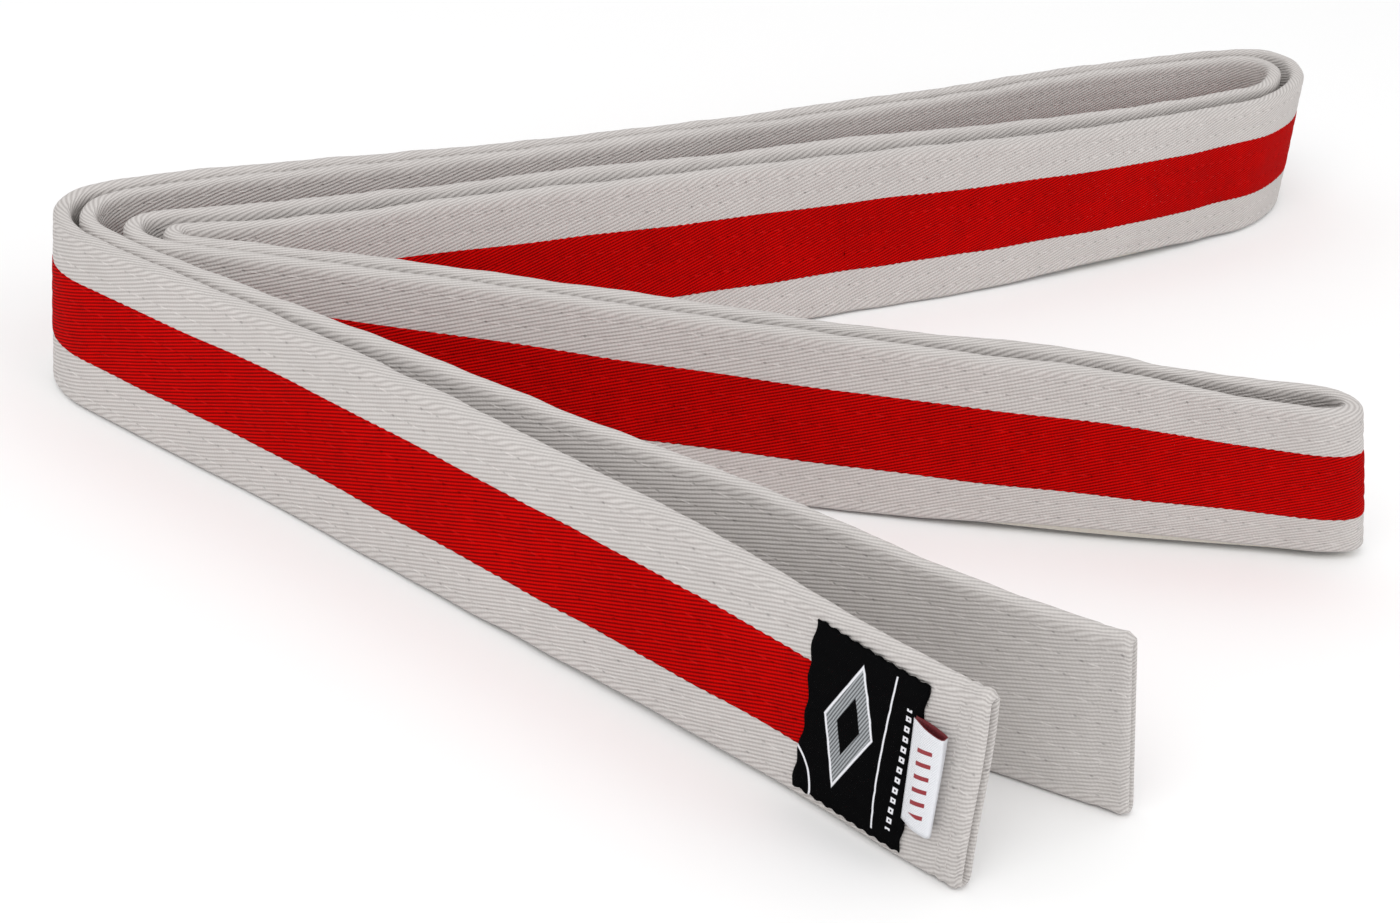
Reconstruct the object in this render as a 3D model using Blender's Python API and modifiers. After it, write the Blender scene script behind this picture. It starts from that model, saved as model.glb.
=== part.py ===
"""A martial arts belt, folded in half and standing on its long edge, built as separate solids.

The belt is one long strip: a sewn cover of cotton twill, a core of interlining inside it, and a
coloured stripe along the middle of one face. Both ends are hemmed. End A carries a woven label
with a small folded size tab beside it.

The strip stands on edge. Seen from above it runs from end A round the outer left bend, the right
bend and the inner left bend to the front fold, which is the middle of the belt, and then back
beside itself to end B. It is made in sections, cut at the bends, so that the bends can open.
Each section is a cover, a core and a stripe of its own.
"""

import math

import bmesh
import bpy
import numpy as np

MM = 0.001

# The strip.
BELT_WIDTH = 40.0 * MM  # height of the strip as it stands on its edge
BELT_THICKNESS = 3.8 * MM
EDGE_CHAMFER = 0.7 * MM
COVER_WALL = 0.45 * MM
GAP = 0.3 * MM  # between neighbouring solids
CORE_CLEARANCE = 0.6 * MM
STRIPE_HEIGHT = 17.4 * MM
STRIPE_THICKNESS = 0.3 * MM

CHANNEL_EDGES = (  # heights between which the cover is drawn in behind the stripe
    (BELT_WIDTH - STRIPE_HEIGHT) / 2.0 - GAP,
    (BELT_WIDTH + STRIPE_HEIGHT) / 2.0 + GAP,
)

# The ends, as distances along the belt from the nearer end.
HEM_LENGTH = 22.0 * MM
SEAM_DISTANCES = (2.9 * MM, 5.5 * MM)
SEAM_LENGTH = 34.0 * MM
SEAM_SIZE = 0.8 * MM
CORE_SETBACK = 3.0 * MM  # the core stops short of the closed end of a hem

# The woven label and the folded size tab beside it, both on the striped face at end A.
LABEL_START = 12.3 * MM
LABEL_LENGTH = 24.0 * MM
LABEL_HEIGHT = 35.0 * MM
LABEL_THICKNESS = 0.4 * MM
TAB_REACH = 6.4 * MM
TAB_BOTTOM = 9.8 * MM
TAB_HEIGHT = 20.2 * MM
TAB_THICKNESS = 0.25 * MM
TAB_LAYER_STEP = 0.65 * MM  # between the two layers where they meet the label
TAB_FLARE = 1.6 * MM  # how far the tab's folded edge stands off the belt

# How far the strip leans from upright, as sideways travel for each metre of height.
SAG_LEAN = 0.10
SAG_CENTRE_X = -61.0 * MM
SAG_REACH = 76.0 * MM
FRONT_FOLD_LEAN = (-0.29, -0.30)
FRONT_FOLD_LEAN_REACH = 80.0 * MM
FRONT_FOLD_LEAN_FADE = 70.0 * MM
END_A_LEAN = (-0.08, -0.127)
END_A_LEAN_REACH = 70.0 * MM
END_B_LEAN = (-0.19, -0.17)
END_B_LEAN_REACH = 100.0 * MM
MIDDLE_LEAN = (-0.108, 0.144)  # where the middle run hangs back between its bends
MIDDLE_LEAN_CENTRE_X = 10.0 * MM
MIDDLE_LEAN_REACH = 95.0 * MM
MIDDLE_RUNS = ((630.0 * MM, 1030.0 * MM), (1580.0 * MM, 2000.0 * MM))
MIDDLE_LEAN_FADE = 65.0 * MM

# How closely the solids follow the route.
LONGEST_STEP = 60.0 * MM
LARGEST_TURN = math.radians(20)
LARGEST_LEAN_CHANGE = 0.045
CURVE_STEPS = 24  # fine steps between two points of the route

# The route of the strip's centre line in plan, in millimetres, section by section from end A.
# The striped face is on the left all the way.
ROUTE_MM = [
    ("tail_a", [(45.8, -192.1), (10.7, -168.8), (-28.5, -140.3), (-72.0, -108.3), (-95.3, -91.1),
                (-119.7, -75.0)]),
    ("outer_left_bend_a", [(-140.0, -61.2), (-148.1, -55.0), (-153.0, -48.1), (-155.1, -40.1),
                           (-153.2, -32.2), (-147.7, -25.5)]),
    ("back_a", [(-135.6, -15.8), (-110.5, 0.1), (-84.5, 15.5), (-48.2, 40.8), (-8.9, 72.3),
                (34.1, 108.9), (82.0, 151.0), (107.6, 171.8)]),
    ("right_bend_a", [(128.7, 187.4), (140.4, 194.3), (148.4, 196.0), (153.6, 191.7),
                      (155.0, 184.0), (154.0, 173.5), (149.7, 161.8)]),
    ("middle_a", [(140.4, 146.6), (127.3, 133.6), (108.2, 115.0), (83.8, 93.9), (55.5, 71.4),
                  (28.9, 52.0), (3.6, 33.0), (-24.2, 13.4), (-41.0, 2.6), (-67.3, -14.0),
                  (-91.5, -28.4)]),
    ("inner_left_bend_a", [(-109.4, -38.1), (-120.4, -43.5), (-125.4, -45.3), (-128.0, -46.5),
                           (-129.0, -49.0), (-127.9, -51.4), (-125.3, -52.5)]),
    ("loop_a", [(-119.8, -52.9), (-87.2, -53.1), (-50.9, -54.8), (-16.5, -55.4), (15.7, -55.4),
                (47.0, -54.3), (75.3, -52.0), (96.5, -48.9)]),
    ("front_fold", [(117.6, -45.9), (128.6, -45.0), (133.8, -46.2), (136.8, -48.7), (137.3, -51.7),
                    (135.2, -54.4), (129.4, -56.4)]),
    ("loop_b", [(117.6, -57.3), (99.5, -59.3), (78.3, -61.3), (50.0, -62.4), (15.7, -62.7),
                (-16.5, -62.3), (-50.9, -61.1), (-87.2, -59.3)]),
    ("inner_left_bend_b", [(-117.4, -57.7), (-129.4, -56.7), (-134.4, -53.9), (-137.7, -48.9),
                           (-137.2, -43.5), (-132.4, -39.3)]),
    ("middle_b", [(-122.5, -34.7), (-109.4, -28.3), (-95.9, -20.5), (-71.8, -5.9), (-45.6, 11.0),
                  (-29.1, 21.4), (-1.4, 40.8), (24.3, 60.2), (50.6, 80.1), (77.8, 101.2),
                  (100.0, 119.9), (117.6, 135.8)]),
    ("right_bend_b", [(130.8, 148.0), (142.3, 160.6), (146.7, 170.9), (147.8, 179.5),
                      (146.6, 184.1), (143.4, 186.2), (139.3, 185.7)]),
    ("back_b", [(131.8, 181.7), (111.2, 167.7), (85.2, 147.2), (37.4, 104.6), (-5.8, 68.3),
                (-45.2, 36.7), (-81.5, 10.8), (-107.5, -4.1)]),
    ("outer_left_bend_b", [(-133.0, -20.5), (-144.3, -30.1), (-148.3, -35.7), (-149.1, -42.0),
                           (-147.3, -48.1), (-143.2, -53.1)]),
    ("tail_b", [(-134.6, -59.6), (-124.0, -66.4), (-96.1, -83.0), (-50.9, -109.2), (-10.5, -129.9),
                (26.8, -146.7), (50.6, -156.8), (75.3, -166.3)]),
]


def eased(value):
    """0 below 0, 1 above 1, and a smooth rise between them."""
    value = np.clip(value, 0.0, 1.0)
    return value * value * (3.0 - 2.0 * value)


def blend(a, b, t_a, t_b, t):
    """The point between a at t_a and b at t_b."""
    return a + (b - a) * (t - t_a) / (t_b - t_a)


def smooth_curve(points):
    """A centripetal Catmull-Rom curve through the points, in fine steps."""
    before = 2.0 * points[0] - points[1]
    after = 2.0 * points[-1] - points[-2]
    points = np.vstack([before, points, after])
    spacing = np.sqrt(np.linalg.norm(np.diff(points, axis=0), axis=1))
    knots = np.concatenate([[0.0], np.cumsum(spacing)])
    fine = []
    for i in range(1, len(points) - 2):
        p0, p1, p2, p3 = points[i - 1:i + 3]
        t0, t1, t2, t3 = knots[i - 1:i + 3]
        for t in np.linspace(t1, t2, CURVE_STEPS, endpoint=False):
            a1 = blend(p0, p1, t0, t1, t)
            a2 = blend(p1, p2, t1, t2, t)
            a3 = blend(p2, p3, t2, t3, t)
            b1 = blend(a1, a2, t0, t2, t)
            b2 = blend(a2, a3, t1, t3, t)
            fine.append(blend(b1, b2, t1, t2, t))
    fine.append(points[-2])
    return np.array(fine)


ROUTE = smooth_curve(np.array([point for _, points in ROUTE_MM for point in points]) * MM)
STEPS = np.diff(ROUTE, axis=0)
TRAVEL = np.concatenate([[0.0], np.cumsum(np.linalg.norm(STEPS, axis=1))])
BELT_LENGTH = TRAVEL[-1]
SLOPE = np.gradient(ROUTE, axis=0)
HEADING = np.unwrap(np.arctan2(SLOPE[:, 1], SLOPE[:, 0]))


def plan_at(distance):
    """The centre line's point, its direction of travel and its left, at distances along it."""
    distance = np.asarray(distance)
    x = np.interp(distance, TRAVEL, ROUTE[:, 0])
    y = np.interp(distance, TRAVEL, ROUTE[:, 1])
    heading = np.interp(distance, TRAVEL, HEADING)
    forward = np.stack([np.cos(heading), np.sin(heading)], axis=-1)
    left = np.stack([-np.sin(heading), np.cos(heading)], axis=-1)
    return np.stack([x, y], axis=-1), forward, left


def lean_at(distance):
    """Sideways travel for each metre of height, as a plan vector."""
    x = plan_at(distance)[0][..., 0]
    to_fold = np.abs(distance - BELT_LENGTH / 2.0)
    sag = SAG_LEAN * np.exp(-((x - SAG_CENTRE_X) / SAG_REACH) ** 2)
    fold = eased((FRONT_FOLD_LEAN_REACH - to_fold) / FRONT_FOLD_LEAN_FADE)
    end_a = eased(1.0 - distance / END_A_LEAN_REACH)
    end_b = eased(1.0 - (BELT_LENGTH - distance) / END_B_LEAN_REACH)
    lean = np.multiply.outer(fold, FRONT_FOLD_LEAN)
    lean = lean + np.multiply.outer(end_a, END_A_LEAN)
    lean = lean + np.multiply.outer(end_b, END_B_LEAN)
    lean[..., 1] += sag
    run = np.exp(-((x - MIDDLE_LEAN_CENTRE_X) / MIDDLE_LEAN_REACH) ** 2)
    for start, end in MIDDLE_RUNS:
        window = eased((distance - start) / MIDDLE_LEAN_FADE) * eased((end - distance) / MIDDLE_LEAN_FADE)
        lean = lean + np.multiply.outer(run * window, MIDDLE_LEAN)
    return lean


def placed(distance, side, height):
    """World positions of points given along the belt, to the left of its centre, and upwards."""
    distance = np.asarray(distance, dtype=float)
    centre, _, left = plan_at(distance)
    plan = centre + left * np.asarray(side)[..., None] + lean_at(distance) * np.asarray(height)[..., None]
    height = np.broadcast_to(height, distance.shape)
    return np.concatenate([plan, height[..., None]], axis=-1)


def stations(start, end):
    """Distances from start to end, close enough together to follow every turn."""
    inside = (TRAVEL > start) & (TRAVEL < end)
    fine = np.concatenate([[start], TRAVEL[inside], [end]])
    heading = np.interp(fine, TRAVEL, HEADING)
    turned = np.concatenate([[0.0], np.cumsum(np.abs(np.diff(heading)))])
    lean_change = np.linalg.norm(np.diff(lean_at(fine), axis=0), axis=1)
    twisted = np.concatenate([[0.0], np.cumsum(lean_change)])
    effort = turned / LARGEST_TURN + (fine - start) / LONGEST_STEP + twisted / LARGEST_LEAN_CHANGE
    count = max(1, math.ceil(effort[-1]))
    return np.interp(np.linspace(0.0, effort[-1], count + 1), effort, fine)


def cover_profile(striped):
    """The outline of the strip's section as (side, height) points, with a channel for the stripe."""
    side = BELT_THICKNESS / 2.0
    top = BELT_WIDTH
    inset = side - EDGE_CHAMFER
    low, high = CHANNEL_EDGES
    floor = side - STRIPE_THICKNESS - GAP
    channel = [(side, low), (floor, low), (floor, high), (side, high)]
    return [
        (-inset, 0.0),
        (inset, 0.0),
        (side, EDGE_CHAMFER),
        *(channel if striped else []),
        (side, top - EDGE_CHAMFER),
        (inset, top),
        (-inset, top),
        (-side, top - EDGE_CHAMFER),
        (-side, EDGE_CHAMFER),
    ]


def material(name, colour, roughness):
    made = bpy.data.materials.new(name)
    made.use_nodes = True
    shader = made.node_tree.nodes["Principled BSDF"]
    shader.inputs["Base Color"].default_value = (*colour, 1.0)
    shader.inputs["Roughness"].default_value = roughness
    shader.inputs["Metallic"].default_value = 0.0
    return made


def skin(name, rings, finish, closed_ring=False, cap=None):
    """An object whose surface joins the rings of points, with a cap at its start or its end."""
    form = bmesh.new()
    rows = [[form.verts.new(point) for point in ring] for ring in rings]
    count = len(rows[0])
    around = count if closed_ring else count - 1
    for row, following in zip(rows, rows[1:]):
        for i in range(around):
            j = (i + 1) % count
            form.faces.new((row[i], row[j], following[j], following[i]))
    if cap == "start":
        form.faces.new(reversed(rows[0]))
    if cap == "end":
        form.faces.new(rows[-1])
    mesh = bpy.data.meshes.new(name)
    form.to_mesh(mesh)
    form.free()
    mesh.materials.append(finish)
    piece = bpy.data.objects.new(name, mesh)
    belt_parts.objects.link(piece)
    return piece


def thicken(piece, thickness, offset):
    """Solidify the surface: offset 0 to both sides, -1 inwards."""
    wall = piece.modifiers.new("Wall", "SOLIDIFY")
    wall.thickness = thickness
    wall.offset = offset
    wall.use_even_offset = True


def sleeve(name, start, end, striped=True, cap=None):
    """A stretch of the cover: a tube open at its ends, or closed at one of them for a hem."""
    profile = cover_profile(striped)
    side = np.array([point[0] for point in profile])
    height = np.array([point[1] for point in profile])
    rings = [placed(np.full(len(profile), d), side, height) for d in stations(start, end)]
    piece = skin(name, rings, twill, closed_ring=True, cap=cap)
    thicken(piece, COVER_WALL, -1.0)
    return piece


def ribbon(name, start, end, side, bottom, top, thickness, finish):
    """A flat strip on edge, centred on a surface that runs beside the centre line."""
    channel = [height for height in CHANNEL_EDGES if bottom < height < top]
    heights = np.array([bottom, *channel, top])
    count = len(heights)
    rings = [placed(np.full(count, d), np.full(count, side), heights) for d in stations(start, end)]
    piece = skin(name, rings, finish)
    thicken(piece, thickness, 0.0)
    return piece


def core(name, start, end):
    """The interlining, in the room that the cover and the stripe's channel leave."""
    inner = COVER_WALL + CORE_CLEARANCE
    low_side = -BELT_THICKNESS / 2.0 + inner
    high_side = BELT_THICKNESS / 2.0 - STRIPE_THICKNESS - GAP - inner
    thickness = high_side - low_side
    middle = (low_side + high_side) / 2.0
    return ribbon(name, start, end, middle, inner, BELT_WIDTH - inner, thickness, interlining)


def stripe(name, start, end):
    middle = (BELT_THICKNESS - STRIPE_THICKNESS) / 2.0
    bottom = (BELT_WIDTH - STRIPE_HEIGHT) / 2.0
    return ribbon(name, start, end, middle, bottom, BELT_WIDTH - bottom, STRIPE_THICKNESS, red_twill)


def end_seams(name, end_distance, inwards):
    """The two rows of cross stitching on the striped face, each a thin bar the height of the belt."""
    bottom = (BELT_WIDTH - SEAM_LENGTH) / 2.0
    side = BELT_THICKNESS / 2.0 + GAP + SEAM_SIZE / 4.0
    for row, distance in zip(("outer", "inner"), SEAM_DISTANCES):
        middle = end_distance + inwards * distance
        start = middle - SEAM_SIZE / 2.0
        end = middle + SEAM_SIZE / 2.0
        ribbon(f"{name}_{row}_seam", start, end, side, bottom, BELT_WIDTH - bottom,
               SEAM_SIZE / 2.0, thread)


def folded_tab():
    """A small ribbon folded in half round its free edge, with both raw ends beside the label."""
    root = LABEL_START - GAP
    tip = root - TAB_REACH
    face = BELT_THICKNESS / 2.0 + GAP + TAB_THICKNESS / 2.0
    path = [
        (root, face),
        (root - TAB_REACH * 0.5, face + TAB_FLARE * 0.25),
        (tip + TAB_REACH * 0.1, face + TAB_FLARE * 0.75),
        (tip, face + TAB_FLARE),
        (tip + TAB_REACH * 0.04, face + TAB_FLARE + TAB_LAYER_STEP),
        (root - TAB_REACH * 0.5, face + TAB_FLARE * 0.8 + TAB_LAYER_STEP),
        (root, face + TAB_LAYER_STEP),
    ]
    top = TAB_BOTTOM + TAB_HEIGHT
    heights = np.array([TAB_BOTTOM, top])
    rings = [placed(np.full(2, d), np.full(2, side), heights) for d, side in path]
    piece = skin("size_tab", rings, tab_weave)
    thicken(piece, TAB_THICKNESS, 0.0)


for old in list(bpy.data.objects):
    bpy.data.objects.remove(old)
belt_parts = bpy.data.collections.new("martial_arts_belt")
bpy.context.scene.collection.children.link(belt_parts)

twill = material("belt_twill", (0.61, 0.57, 0.55), 0.85)
red_twill = material("stripe_twill", (0.55, 0.004, 0.003), 0.8)
interlining = material("interlining", (0.70, 0.68, 0.62), 0.95)
label_weave = material("label_weave", (0.012, 0.012, 0.013), 0.6)
tab_weave = material("tab_weave", (0.75, 0.75, 0.76), 0.6)
thread = material("sewing_thread", (0.68, 0.65, 0.62), 0.6)

first_points = np.cumsum([0] + [len(points) for _, points in ROUTE_MM])
breaks = TRAVEL[np.minimum(first_points * CURVE_STEPS, len(TRAVEL) - 1)]
breaks[-1] = BELT_LENGTH
for (section, _), section_start, section_end in zip(ROUTE_MM, breaks, breaks[1:]):
    at_end_a = section == "tail_a"
    at_end_b = section == "tail_b"
    cover_start = HEM_LENGTH + GAP if at_end_a else section_start
    cover_end = BELT_LENGTH - HEM_LENGTH if at_end_b else section_end
    core_start = COVER_WALL + CORE_SETBACK if at_end_a else section_start
    core_end = BELT_LENGTH - COVER_WALL - CORE_SETBACK if at_end_b else section_end
    sleeve(f"{section}_cover", cover_start, cover_end - GAP)
    core(f"{section}_core", core_start, core_end - GAP)
    stripe(f"{section}_stripe", cover_start, cover_end - GAP)

sleeve("end_a_hem", 0.0, HEM_LENGTH, striped=False, cap="start")
sleeve("end_b_hem", BELT_LENGTH - HEM_LENGTH, BELT_LENGTH, striped=False, cap="end")
end_seams("end_a", 0.0, 1.0)
end_seams("end_b", BELT_LENGTH, -1.0)

label_side = BELT_THICKNESS / 2.0 + GAP + LABEL_THICKNESS / 2.0
label_bottom = (BELT_WIDTH - LABEL_HEIGHT) / 2.0
ribbon("woven_label", LABEL_START, LABEL_START + LABEL_LENGTH, label_side, label_bottom,
       BELT_WIDTH - label_bottom, LABEL_THICKNESS, label_weave)
folded_tab()
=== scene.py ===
import math

import bpy
import numpy as np
from mathutils import Matrix


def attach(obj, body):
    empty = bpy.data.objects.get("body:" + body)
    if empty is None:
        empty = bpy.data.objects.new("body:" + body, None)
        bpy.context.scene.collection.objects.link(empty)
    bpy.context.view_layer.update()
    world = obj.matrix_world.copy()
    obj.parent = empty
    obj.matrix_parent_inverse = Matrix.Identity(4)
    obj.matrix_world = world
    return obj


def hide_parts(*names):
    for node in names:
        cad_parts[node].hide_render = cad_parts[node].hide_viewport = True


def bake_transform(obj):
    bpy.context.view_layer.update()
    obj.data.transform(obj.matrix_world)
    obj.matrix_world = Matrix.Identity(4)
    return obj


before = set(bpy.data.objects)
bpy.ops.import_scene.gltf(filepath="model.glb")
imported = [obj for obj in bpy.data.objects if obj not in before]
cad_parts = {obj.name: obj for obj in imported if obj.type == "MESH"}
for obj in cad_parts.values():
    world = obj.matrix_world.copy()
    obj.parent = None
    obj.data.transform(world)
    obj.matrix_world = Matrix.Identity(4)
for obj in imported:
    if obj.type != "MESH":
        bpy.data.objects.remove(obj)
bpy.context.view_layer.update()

MM = 0.001

# ---------------------------------------------------------------- the strip, as the CAD has it
WIDTH = 40.0 * MM
HALF = 2.08 * MM  # half the thickness of the cloth strip
STRIPE_HEIGHT = 17.4 * MM
LOWER_BAND = (WIDTH - STRIPE_HEIGHT) / 2
SAG_LEAN = 0.10
SAG_CENTRE_X = -61.0 * MM
SAG_REACH = 76.0 * MM
FRONT_FOLD_LEAN = (-0.29, -0.30)
FRONT_FOLD_LEAN_REACH = 80.0 * MM
FRONT_FOLD_LEAN_FADE = 70.0 * MM
END_A_LEAN = (-0.08, -0.127)
END_A_LEAN_REACH = 70.0 * MM
END_B_LEAN = (-0.19, -0.17)
END_B_LEAN_REACH = 100.0 * MM
MIDDLE_LEAN = (-0.108, 0.144)  # where the middle run hangs back between its bends
MIDDLE_LEAN_CENTRE_X = 10.0 * MM
MIDDLE_LEAN_REACH = 95.0 * MM
MIDDLE_RUNS = ((630.0 * MM, 1030.0 * MM), (1580.0 * MM, 2000.0 * MM))
MIDDLE_LEAN_FADE = 65.0 * MM
END_A_KICK = 3.2 * MM  # how far the lower corner of end A stands forward
END_A_KICK_REACH = 45.0 * MM
END_A_KICK_HEIGHT = 34.0 * MM
CURVE_STEPS = 24

ROUTE_MM = [
    ("tail_a", [(45.8, -192.1), (10.7, -168.8), (-28.5, -140.3), (-72.0, -108.3), (-95.3, -91.1),
                (-119.7, -75.0)]),
    ("outer_left_bend_a", [(-140.0, -61.2), (-148.1, -55.0), (-153.0, -48.1), (-155.1, -40.1),
                           (-153.2, -32.2), (-147.7, -25.5)]),
    ("back_a", [(-135.6, -15.8), (-110.5, 0.1), (-84.5, 15.5), (-48.2, 40.8), (-8.9, 72.3),
                (34.1, 108.9), (82.0, 151.0), (107.6, 171.8)]),
    ("right_bend_a", [(128.7, 187.4), (140.4, 194.3), (148.4, 196.0), (153.6, 191.7),
                      (155.0, 184.0), (154.0, 173.5), (149.7, 161.8)]),
    ("middle_a", [(140.4, 146.6), (127.3, 133.6), (108.2, 115.0), (83.8, 93.9), (55.5, 71.4),
                  (28.9, 52.0), (3.6, 33.0), (-24.2, 13.4), (-41.0, 2.6), (-67.3, -14.0),
                  (-91.5, -28.4)]),
    ("inner_left_bend_a", [(-109.4, -38.1), (-120.4, -43.5), (-125.4, -45.3), (-128.0, -46.5),
                           (-129.0, -49.0), (-127.9, -51.4), (-125.3, -52.5)]),
    ("loop_a", [(-119.8, -52.9), (-87.2, -53.1), (-50.9, -54.8), (-16.5, -55.4), (15.7, -55.4),
                (47.0, -54.3), (75.3, -52.0), (96.5, -48.9)]),
    ("front_fold", [(117.6, -45.9), (128.6, -45.0), (133.8, -46.2), (136.8, -48.7), (137.3, -51.7),
                    (135.2, -54.4), (129.4, -56.4)]),
    ("loop_b", [(117.6, -57.3), (99.5, -59.3), (78.3, -61.3), (50.0, -62.4), (15.7, -62.7),
                (-16.5, -62.3), (-50.9, -61.1), (-87.2, -59.3)]),
    ("inner_left_bend_b", [(-117.4, -57.7), (-129.4, -56.7), (-134.4, -53.9), (-137.7, -48.9),
                           (-137.2, -43.5), (-132.4, -39.3)]),
    ("middle_b", [(-122.5, -34.7), (-109.4, -28.3), (-95.9, -20.5), (-71.8, -5.9), (-45.6, 11.0),
                  (-29.1, 21.4), (-1.4, 40.8), (24.3, 60.2), (50.6, 80.1), (77.8, 101.2),
                  (100.0, 119.9), (117.6, 135.8)]),
    ("right_bend_b", [(130.8, 148.0), (142.3, 160.6), (146.7, 170.9), (147.8, 179.5),
                      (146.6, 184.1), (143.4, 186.2), (139.3, 185.7)]),
    ("back_b", [(131.8, 181.7), (111.2, 167.7), (85.2, 147.2), (37.4, 104.6), (-5.8, 68.3),
                (-45.2, 36.7), (-81.5, 10.8), (-107.5, -4.1)]),
    ("outer_left_bend_b", [(-133.0, -20.5), (-144.3, -30.1), (-148.3, -35.7), (-149.1, -42.0),
                           (-147.3, -48.1), (-143.2, -53.1)]),
    ("tail_b", [(-134.6, -59.6), (-124.0, -66.4), (-96.1, -83.0), (-50.9, -109.2), (-10.5, -129.9),
                (26.8, -146.7), (50.6, -156.8), (75.3, -166.3)]),
]


def eased(value):
    value = np.clip(value, 0.0, 1.0)
    return value * value * (3.0 - 2.0 * value)


def between(a, b, t_a, t_b, t):
    return a + (b - a) * (t - t_a) / (t_b - t_a)


def smooth_curve(points, steps=CURVE_STEPS):
    """A centripetal Catmull-Rom curve through the points, in fine steps."""
    before = 2.0 * points[0] - points[1]
    after = 2.0 * points[-1] - points[-2]
    points = np.vstack([before, points, after])
    knots = np.concatenate([[0.0], np.cumsum(np.sqrt(np.linalg.norm(np.diff(points, axis=0), axis=1)))])
    fine = []
    for i in range(1, len(points) - 2):
        p0, p1, p2, p3 = points[i - 1:i + 3]
        t0, t1, t2, t3 = knots[i - 1:i + 3]
        for t in np.linspace(t1, t2, steps, endpoint=False):
            a1 = between(p0, p1, t0, t1, t)
            a2 = between(p1, p2, t1, t2, t)
            a3 = between(p2, p3, t2, t3, t)
            b1 = between(a1, a2, t0, t2, t)
            b2 = between(a2, a3, t1, t3, t)
            fine.append(between(b1, b2, t1, t2, t))
    fine.append(points[-2])
    return np.array(fine)


ROUTE = smooth_curve(np.array([point for _, points in ROUTE_MM for point in points]) * MM)
TRAVEL = np.concatenate([[0.0], np.cumsum(np.linalg.norm(np.diff(ROUTE, axis=0), axis=1))])
LENGTH = float(TRAVEL[-1])
SLOPE = np.gradient(ROUTE, axis=0)
HEADING = np.unwrap(np.arctan2(SLOPE[:, 1], SLOPE[:, 0]))


def plan_at(distance):
    x = np.interp(distance, TRAVEL, ROUTE[:, 0])
    y = np.interp(distance, TRAVEL, ROUTE[:, 1])
    heading = np.interp(distance, TRAVEL, HEADING)
    return np.stack([x, y], axis=-1), np.stack([-np.sin(heading), np.cos(heading)], axis=-1)


def lean_at(distance):
    x = plan_at(distance)[0][..., 0]
    to_fold = np.abs(distance - LENGTH / 2.0)
    lean = np.multiply.outer(eased((FRONT_FOLD_LEAN_REACH - to_fold) / FRONT_FOLD_LEAN_FADE), FRONT_FOLD_LEAN)
    lean = lean + np.multiply.outer(eased(1.0 - distance / END_A_LEAN_REACH), END_A_LEAN)
    lean = lean + np.multiply.outer(eased(1.0 - (LENGTH - distance) / END_B_LEAN_REACH), END_B_LEAN)
    lean[..., 1] += SAG_LEAN * np.exp(-((x - SAG_CENTRE_X) / SAG_REACH) ** 2)
    run = np.exp(-((x - MIDDLE_LEAN_CENTRE_X) / MIDDLE_LEAN_REACH) ** 2)
    for start, end in MIDDLE_RUNS:
        window = eased((distance - start) / MIDDLE_LEAN_FADE) * eased((end - distance) / MIDDLE_LEAN_FADE)
        lean = lean + np.multiply.outer(run * window, MIDDLE_LEAN)
    return lean


def placed(distance, side, height):
    """World positions of points given along the belt, to the left of its centre, and upwards."""
    distance, side, height = np.broadcast_arrays(np.asarray(distance, float), side, height)
    flat = np.clip(distance, 0.0, LENGTH)
    centre, left = plan_at(flat)
    forward = np.stack([left[..., 1], -left[..., 0]], axis=-1)
    kick = END_A_KICK * eased(1.0 - flat / END_A_KICK_REACH) * eased(1.0 - height / END_A_KICK_HEIGHT)
    plan = centre + left * (side + kick)[..., None] + forward * (distance - flat)[..., None]
    plan = plan + lean_at(flat) * height[..., None]
    return np.concatenate([plan, height[..., None]], axis=-1)


# ---------------------------------------------------------------- the quilted section
ROW_PITCH = 4.2 * MM  # between the long rows of stitching
STITCH = 4.3 * MM  # from one needle hole to the next
STEP = STITCH / 4.0
FACE_STEP = ROW_PITCH / 4.0
FACE_STEPS = 17  # from the middle of a face to where its edge starts to turn
ROWS = 4  # rows of stitching each side of the middle one
FACE_REACH = FACE_STEPS * FACE_STEP
WRAP = 42.0 * MM  # from the middle of one face round the edge to the middle of the other
EDGE_TURNS = 4  # steps from a face to the crest of an edge
EDGE_FULLNESS = 0.62  # 1 gives an elliptical edge, less a squarer one
ROWS_START = 6.0 * MM  # the long rows stop this far from each end
ROWS_FADE = 3.0 * MM
FURROW_DEPTH = 0.09 * MM
PIT_DEPTH = 0.10 * MM  # at each needle hole
SEAM_RINGS = (3, 5)  # the steps from an end at which it is sewn across
END_SEAM_DEPTH = 0.36 * MM
END_SEAM_REACH = 0.75 * MM
HEM_RISE = 0.26 * MM  # the folded-in hem makes the end a little thicker
HEM_MIDDLE = 2.8 * MM
HEM_REACH = 3.4 * MM


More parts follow.
